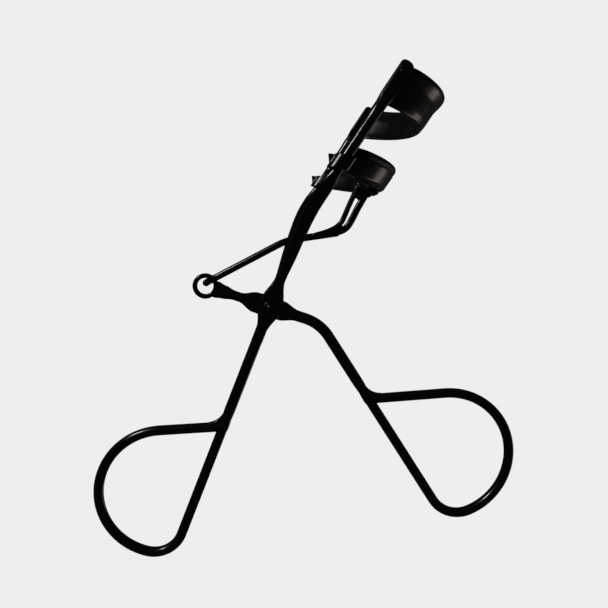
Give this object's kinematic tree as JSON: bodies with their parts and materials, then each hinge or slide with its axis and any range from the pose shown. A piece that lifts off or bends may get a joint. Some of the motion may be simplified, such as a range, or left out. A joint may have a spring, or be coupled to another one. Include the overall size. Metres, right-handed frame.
{
  "type": "eyelash curler",
  "caption": "Black wire-handled eyelash curler with two finger loops, a curved fixed upper jaw and a sliding padded lower jaw.",
  "frame": {"origin": "centre of the bounding box's underside, with the handles open", "axes": "+Z along the guide posts, from the finger loops up to the jaws; +X the way that the jaws bulge and the lever handle points; Y along the pivot rivet, across the jaws"},
  "size_m": [0.074, 0.0362, 0.1038],
  "materials": {
    "black_coated_steel": "glossy black coating over steel wire and strip",
    "black_silicone": "satin black silicone rubber"
  },
  "bodies": {
    "frame": {"upper_jaw_plate": "black_coated_steel", "plate_rivets": "black_coated_steel", "right_guide_post": "black_coated_steel", "left_guide_post": "black_coated_steel", "right_leg": "black_coated_steel", "left_leg": "black_coated_steel", "pivot_rivet": "black_coated_steel", "fixed_shank": "black_coated_steel", "fixed_finger_loop": "black_coated_steel", "fixed_loop_weld": "black_coated_steel"},
    "lever": {"lever_arm": "black_coated_steel", "lever_shank": "black_coated_steel", "lever_finger_loop": "black_coated_steel", "lever_loop_weld": "black_coated_steel"},
    "lower_jaw": {"lower_jaw_channel": "black_coated_steel", "right_guide_eyelet": "black_coated_steel", "left_guide_eyelet": "black_coated_steel", "silicone_pad": "black_silicone", "link_bracket": "black_coated_steel", "bracket_rivets": "black_coated_steel", "link_rod": "black_coated_steel"}
  },
  "joints": [
    {"name": "lever_pivot", "type": "hinge", "parent": "frame", "child": "lever", "pos_m": [-0.02234, 0, 0.0549], "axis": [0, 1, 0], "range_deg": [0, 37.8]},
    {"name": "jaw_slide", "type": "slide", "parent": "frame", "child": "lower_jaw", "axis": [0, 0, 1], "range_m": [0, 0.0075]}
  ],
  "couplings": [
    {"joint": "jaw_slide", "follows": "lever_pivot", "m_per_rad": 0.011368}
  ]
}
